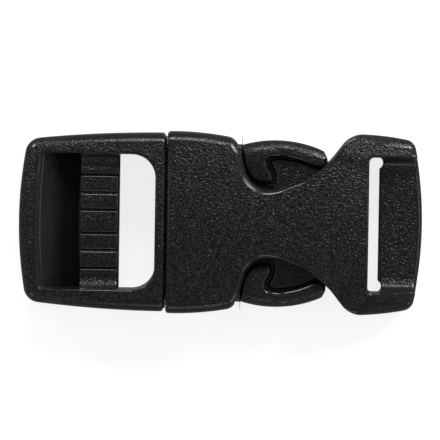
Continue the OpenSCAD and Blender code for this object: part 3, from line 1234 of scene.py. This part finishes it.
@dataclass
class SocketBody(MouldedPiece):
    """Socket half: sleeve, scalloped waist, flare, strap slot and recessed end bar."""

    name: str = "socket_body"
    node: str = "socket_half"
    slot: str = "socket_plastic"
    # Long sides and end
    sleeve_side: Bow = Bow(-5.6, 10.92, 36.0)
    flare_side: Bow = Bow(16.2, 10.87, 32.0)
    sides_meet: float = 8.0
    end_radius: float = 46.0
    end_roll: float = 0.75
    corner_roll: float = 1.1
    # Rolls of the edges, and where one passes into the next
    scallop_roll: float = 0.7
    waist_roll: float = 0.2
    waist_ramp: tuple[float, float] = (4.0, 9.0)
    sleeve_ramp: tuple[float, float] = (4.0, 8.5)
    flare_roll: float = 1.2
    flare_ramp: tuple[float, float] = (14.6, 19.0)
    side_ramp: tuple[float, float] = (8.2, 9.9)
    # Scallop that lays the pads bare
    scallop_lean: float = 0.3
    lean_ramp: tuple[float, float] = (7.0, 10.0)
    lean_depth: float = 0.1
    scallop_corners: tuple[Corner, ...] = (
        Corner(1.35, 14.0),
        Corner(1.62, 9.35, 2.0),
        Corner(3.3, 3.8, 3.3),
        Corner(6.9, 3.84, 4.0),
        Corner(10.2, 5.25, 8.0),
        Corner(13.15, 7.7, 6.0),
        Corner(15.6, 10.87),
        Corner(17.9, 14.0),
    )
    # Cavity
    cavity_end: float = 12.95
    cavity_half_length: float = 11.0
    cavity_corner: float = 0.3
    cavity_roll: float = 0.5
    cavity_lip: float = 0.12
    roof_start: float = 4.0
    roof_fall: float = 0.075
    # Slopes of the flanges
    crease: tuple[float, float] = (19.4, 8.6)
    crease_roll: float = 0.4
    corner_turn: float = math.radians(15.0)
    corner_fall: float = 0.172
    end_fall: float = 0.1
    # Strap slot and recess
    slot_from_end: float = 6.56
    slot_opening: float = 1.3
    slot_roll: float = 0.28
    slot_corner: float = 0.6
    beyond_end: float = 40.0
    recess_roll: float = 0.53
    recess_ramp: tuple[float, float] = (7.4, 7.9)
    # Recessed end bar
    bar_low: float = 1.2
    bar_top: float = 3.1
    bar_fall: float = 0.06
    bar_floor_half: float = 6.15
    bar_fillet: float = 2.08
    bar_overlap: float = 0.3
    bar_slot_rolls: tuple[float, float] = (0.2, 0.3)
    bar_end_rolls: tuple[float, float] = (0.65, 0.6)
    bar_joint_fillet: float = 0.06
    ear_radius: float = 0.72
    ear_middle: tuple[float, float] = (18.7, 7.43)
    # Bounds of the polished and rubbed stretches
    cavity_skin: float = 0.1
    recess_wall_start: float = 7.2
    recess_skin: float = 0.05
    rubbed_sleeve: tuple[float, float] = (4.0, 9.6)
    rubbed_flange: tuple[float, float] = (16.8, 9.2)
    scallop_skin: float = 0.55
    scallop_wall_top: float = 0.06
    scallop_wall_foot: float = 0.3
    scallop_wall_end: float = 10.5

    def __post_init__(self) -> None:
        """Works out where the strap slot begins and ends."""
        self.slot_left = self.form.right_end - self.slot_from_end
        self.slot_right = self.slot_left + self.slot_opening

    def lattice(self) -> Lattice:
        """Grid that holds the socket.

        Returns:
            The grid.
        """
        f = self.form
        side = f.half_width + self.side_room
        low = (f.joint - self.side_room, -side, -self.end_room)
        high = (f.right_end + self.end_room, side, f.height + self.side_room)
        return Lattice(low, high, self.step)

    def values(self, lattice: Lattice) -> Array:
        """Field of the socket.

        Args:
            lattice: Grid of the socket.

        Returns:
            The field.
        """
        f = self.form
        x, y, z = lattice.x, lattice.y, lattice.z
        away = np.abs(y)
        top = self._top(lattice)
        walls = self._walls(x, away, z)
        roll = self._edge_roll(x, away)
        body = np.maximum(rolled(walls, top, roll), rolled(walls, -z, np.minimum(roll, f.low_roll)))
        body = rolled(body, f.joint + f.half_gap - x, f.mouth_roll)
        body = rolled(body, -self._cavity(x, away, z), self.cavity_lip)
        end = f.drafted(np.hypot(x - f.right_end + self.end_radius, y) - self.end_radius, z)
        body = rolled(body, end, self.end_roll)
        body = np.maximum(body, self._recess(x, y, z, top))
        return joined(body, self._end_bar(lattice, top, end), self.bar_joint_fillet)

    def _top(self, lattice: Lattice) -> Array:
        """Crowned top, with the slope of each flange to its end and to its outer corner.

        Args:
            lattice: Grid of the socket.

        Returns:
            Signed distance to the top.
        """
        x, y = lattice.x, lattice.y
        crown = self.form.crown(x, y)
        past = x - self.crease[0]
        across = np.abs(y) - self.crease[1]
        outward = math.sin(self.corner_turn) * past + math.cos(self.corner_turn) * across
        end = lattice.below(crown - self.end_fall * np.maximum(past, 0.0))
        corner = lattice.below(crown - self.corner_fall * outward)
        return rolled(end, corner, self.crease_roll)

    def _walls(self, x: Array, away: Array, z: Array) -> Array:
        """Long sides of the sleeve and the flare, with the scallop between them.

        Args:
            x: Place along the buckle.
            away: Distance from the middle plane across the buckle.
            z: Height.

        Returns:
            Signed distance to the walls.
        """
        f = self.form
        side = np.where(
            x < self.sides_meet, self.sleeve_side.distance(x, away), self.flare_side.distance(x, away)
        )
        deep = f.height - f.middle - self.lean_depth - np.abs(z - f.middle)
        lean = self.scallop_lean * (1.0 - smooth_step(*self.lean_ramp, x))
        scallop = Outline(self.scallop_corners).distance(x, away)
        cut = -scallop - lean * np.clip(deep, 0.0, f.plate)
        return rolled(f.drafted(side, z), cut, self.corner_roll)

    def _edge_roll(self, x: Array, away: Array) -> Array:
        """Radius of the rolled edges: wide on the long sides, tight round the scallop.

        Args:
            x: Place along the buckle.
            away: Distance from the middle plane across the buckle.

        Returns:
            Radius at each point.
        """
        small = blended(self.scallop_roll, self.waist_roll, smooth_step(*self.waist_ramp, x))
        large = blended(self.form.roll, small, smooth_step(*self.sleeve_ramp, x))
        large = blended(large, self.flare_roll, smooth_step(*self.flare_ramp, x))
        return blended(small, large, smooth_step(*self.side_ramp, away))

    def _cavity(self, x: Array, away: Array, z: Array) -> Array:
        """Room for the latch inside the socket, under a roof that falls towards the waist.

        Args:
            x: Place along the buckle.
            away: Distance from the middle plane across the buckle.
            z: Height.

        Returns:
            Field of the room.
        """
        f = self.form
        half = self.cavity_half_length
        roof = f.cavity_top - self.roof_fall * np.maximum(x - self.roof_start, 0.0)
        along = np.abs(x - self.cavity_end + half) - half
        plan = rolled(away - f.cavity_half_width, along, self.cavity_corner)
        upright = np.abs(z - (f.plate + roof) / 2) - (roof - f.plate) / 2
        return rolled(plan, upright, self.cavity_roll)

    def _recess(self, x: Array, y: Array, z: Array, top: Array) -> Array:
        """What the strap slot and the recess behind it leave standing.

        Args:
            x: Place along the buckle.
            y: Place across it.
            z: Height.
            top: Signed distance to the top.

        Returns:
            Field of the rest, with a roll round the recess.
        """
        half = self.form.half_strap
        recess = Outline([
            Corner(self.slot_left, -half, self.slot_corner),
            Corner(self.beyond_end, -half),
            Corner(self.beyond_end, half),
            Corner(self.slot_left, half, self.slot_corner),
        ]).distance(x, y)
        roll = blended(self.slot_roll, self.recess_roll, smooth_step(*self.recess_ramp, -y))
        return np.maximum(rolled(-recess, top, roll), rolled(-recess, -z, self.slot_roll))

    def _end_bar(self, lattice: Lattice, top: Array, end: Array) -> Array:
        """Recessed bar that the webbing goes round, with the slot's two round reliefs.

        Args:
            lattice: Grid of the socket.
            top: Signed distance to the top.
            end: Signed distance to the end face.

        Returns:
            Field of the bar.
        """
        x, z = lattice.x, lattice.z
        away = np.abs(lattice.y)
        wall = fillet_rise(away, self.bar_floor_half, self.bar_fillet)
        bar_top = lattice.below(self.bar_top + wall - self.bar_fall * (x - self.slot_right))
        ears = np.hypot(x - self.ear_middle[0], away - self.ear_middle[1]) - self.ear_radius
        start = np.maximum(self.slot_right - x, -ears)
        start = np.maximum(start, away - self.form.half_strap - self.bar_overlap)
        low = self.bar_low - z
        bar = top
        for face, rolls in ((start, self.bar_slot_rolls), (end, self.bar_end_rolls)):
            bar = np.maximum(bar, rolled(face, bar_top, rolls[0]))
            bar = np.maximum(bar, rolled(face, low, rolls[1]))
        return bar

    def grain(self, points: Array) -> Array:
        """Sparked outside and smooth inside the cavity and on the walls of the recess.

        Args:
            points: Points on the socket, in millimetres.

        Returns:
            Depth of the grain at each point.
        """
        x, y, z = points[:, 0], points[:, 1], points[:, 2]
        away = np.abs(y)
        f = self.form
        skin = self.cavity_skin
        inside = (away < f.cavity_half_width + skin) & (x < self.cavity_end + skin)
        inside &= (z > f.plate - skin) & (z < f.cavity_top + skin)
        recess = (x > self.slot_left) & (away > self.recess_wall_start)
        recess &= away < f.half_strap + self.recess_skin
        scallop = Outline(self.scallop_corners).distance(x, away)
        wall = (scallop < self.scallop_skin) & (x < self.scallop_wall_end) & (z > self.scallop_wall_foot)
        wall &= f.crown(x, y) - z > self.scallop_wall_top
        rubbed = (x < self.rubbed_sleeve[0]) & (away > self.rubbed_sleeve[1])
        rubbed |= (x > self.rubbed_flange[0]) & (y < -self.rubbed_flange[1])
        outer = np.where(rubbed, Grain.RUBBED.value, Grain.SPARKED.value)
        return np.where(inside | recess | wall, Grain.POLISHED.value, outer)


@dataclass(frozen=True)
class Softbox:
    """One flat studio lamp that looks at the buckle."""

    name: str
    place: tuple[float, float, float]
    width: float
    depth: float
    power: float
    tint: Tint = Tint.PLAIN

    def build(self) -> bpy.types.Object:
        """Hangs the lamp.

        Returns:
            The lamp.
        """
        data = bpy.data.lights.new(self.name, "AREA")
        data.shape = "RECTANGLE"
        data.size = self.width
        data.size_y = self.depth
        data.energy = self.power
        data.color = self.tint.value
        lamp = bpy.data.objects.new(self.name, data)
        lamp.location = self.place
        lamp.rotation_euler = (-Vector(self.place)).to_track_quat("-Z", "Y").to_euler()
        bpy.context.scene.collection.objects.link(lamp)
        return lamp


@dataclass
class Table:
    """Table top of white card that curves up into a backdrop, in metres."""

    radius: float = 0.9
    rise: float = 0.25
    rise_steps: int = 8
    around: int = 96
    white: Colour = (0.5, 0.5, 0.5)
    roughness: float = 0.7
    gloss: float = 0.2
    # Painted glow: emission of the card, strongest round the buckle, that washes out its shadow
    painted_glow_colour: Colour = (1.0, 1.0, 1.0)
    painted_glow: tuple[float, float] = (0.8, 0.2)
    painted_glow_fades: tuple[float, float] = (0.06, 0.2)

    def build(self) -> bpy.types.Object:
        """Lays the table and keeps it out of glossy reflections.

        Returns:
            The table.
        """
        mesh = bpy.data.meshes.new("table")
        mesh.from_pydata(self._vertices(), [], self._faces())
        mesh.shade_smooth()
        mesh.materials.append(self._card())
        table = bpy.data.objects.new("table", mesh)
        bpy.context.scene.collection.objects.link(table)
        table.visible_glossy = False
        return table

    def _vertices(self) -> list[tuple[float, float, float]]:
        """Rings of points, from the rim of the flat top outward and up.

        Returns:
            The points.
        """
        vertices = []
        for step in range(self.rise_steps + 1):
            angle = math.pi / 2 * step / self.rise_steps
            reach = self.radius + self.rise * math.sin(angle)
            height = self.rise * (1 - math.cos(angle))
            for k in range(self.around):
                turn = math.tau * k / self.around
                vertices.append((reach * math.cos(turn), reach * math.sin(turn), height))
        return vertices

    def _faces(self) -> list[tuple[int, ...]]:
        """Flat top, and the bands between the rings.

        Returns:
            Vertex numbers of each face.
        """
        faces = [tuple(range(self.around))]
        for ring in range(self.rise_steps):
            for k in range(self.around):
                a = ring * self.around + k
                b = ring * self.around + (k + 1) % self.around
                faces.append((b, a, a + self.around, b + self.around))
        return faces

    def _card(self) -> bpy.types.Material:
        """White card with a painted glow: it glows brightest round the buckle and fades outward, which
        washes out the buckle's shadow on the card, as an overlit table does in a picture.

        Returns:
            The finish.
        """
        card = bpy.data.materials.new("white_card")
        card.use_nodes = True
        wiring = Wiring(card.node_tree)
        inputs = card.node_tree.nodes["Principled BSDF"].inputs
        wiring.link(self.white, inputs["Base Color"])
        wiring.link(self.roughness, inputs["Roughness"])
        wiring.link(self.gloss, inputs["Specular IOR Level"])
        wiring.link(self.painted_glow_colour, inputs["Emission Color"])
        # Painted light: the card glows most near the buckle and less further out
        painted_glow = wiring.ramp(wiring.reach(), self.painted_glow_fades, self.painted_glow, "SMOOTHSTEP")
        wiring.link(painted_glow, inputs["Emission Strength"])
        return card


@dataclass
class Studio:
    """Table, soft lamps, dim room light and the camera above the buckle, in metres."""

    table: Table = field(default_factory=Table)
    room_tint: Colour = (0.95, 0.97, 1.0)
    room_light: float = 0.22
    camera_distance: float = 0.55
    camera_lean: float = math.radians(2.5)
    camera_turn: float = math.radians(0.9)
    nearest: float = 0.01
    furthest: float = 10.0
    aim_height: float = 0.0042
    picture_pixels: float = 440.0
    millimetres_per_pixel: float = 0.12
    centre_pixel: tuple[float, float] = (220.85, 222.9)
    lamps: tuple[Softbox, ...] = (
        Softbox("lamp_key", (0.301, 0.312, 0.25), 0.12, 0.12, 0.85),
        Softbox("lamp_low_key", (0.343, 0.343, 0.121), 0.28, 0.08, 0.6),
        Softbox("lamp_back", (0.0, 0.424, 0.265), 0.22, 0.12, 1.0, Tint.COOL),
        Softbox("lamp_back_left", (-0.343, 0.343, 0.121), 0.12, 0.1, 0.55, Tint.COOL),
        Softbox("lamp_right", (0.441, 0.0, 0.235), 0.14, 0.14, 0.09),
        Softbox("lamp_left", (-0.331, 0.047, 0.372), 0.16, 0.2, 0.06),
        Softbox("lamp_front_left", (-0.343, -0.343, 0.121), 0.16, 0.14, 0.14, Tint.WARM),
        Softbox("lamp_front_right", (0.36, -0.325, 0.121), 0.16, 0.14, 0.14, Tint.WARM),
        Softbox("lamp_front", (0.04, -0.455, 0.203), 0.24, 0.14, 0.22, Tint.WARM),
    )

    def build(self) -> None:
        """Sets the table, the lamps, the room light and the camera."""
        self.table.build()
        for lamp in self.lamps:
            lamp.build()
        self._light_room()
        self._hang_camera()

    def _light_room(self) -> None:
        """Gives the dim room light and plain colour handling."""
        world = bpy.data.worlds.new("studio")
        world.use_nodes = True
        sky = world.node_tree.nodes["Background"]
        sky.inputs["Color"].default_value = (*self.room_tint, 1.0)
        sky.inputs["Strength"].default_value = self.room_light
        bpy.context.scene.world = world
        bpy.context.scene.view_settings.view_transform = "Standard"

    def _hang_camera(self) -> None:
        """Hangs the camera almost straight above, turned as the photograph is."""
        data = bpy.data.cameras.new("camera")
        picture_width = self.picture_pixels * self.millimetres_per_pixel * MM
        data.lens = data.sensor_width * self.camera_distance / picture_width
        data.clip_start = self.nearest
        data.clip_end = self.furthest
        middle = self.picture_pixels / 2
        data.shift_x = (middle - self.centre_pixel[0]) / self.picture_pixels
        data.shift_y = (self.centre_pixel[1] - middle) / self.picture_pixels
        camera = bpy.data.objects.new("camera", data)
        turned = Euler((-self.camera_lean, 0.0, self.camera_turn))
        back = turned.to_matrix() @ Vector((0.0, 0.0, self.camera_distance))
        camera.location = Vector((0.0, 0.0, self.aim_height)) + back
        camera.rotation_euler = turned
        bpy.context.scene.collection.objects.link(camera)
        bpy.context.scene.camera = camera


def main() -> None:
    """Builds both halves piece by piece, then the studio."""
    logging.basicConfig(level=logging.INFO, format="%(message)s")
    form = BuckleForm()
    latch_finish = MouldedPlastic("latch_black_plastic").material()
    socket_finish = MouldedPlastic("socket_black_plastic").material()
    pieces = [
        AdjusterFrame(form, latch_finish),
        ReleaseArms(form, latch_finish),
        SocketBody(form, socket_finish),
    ]
    for piece in pieces:
        piece.build()
    Studio().build()


if __name__ == "__main__":
    main()
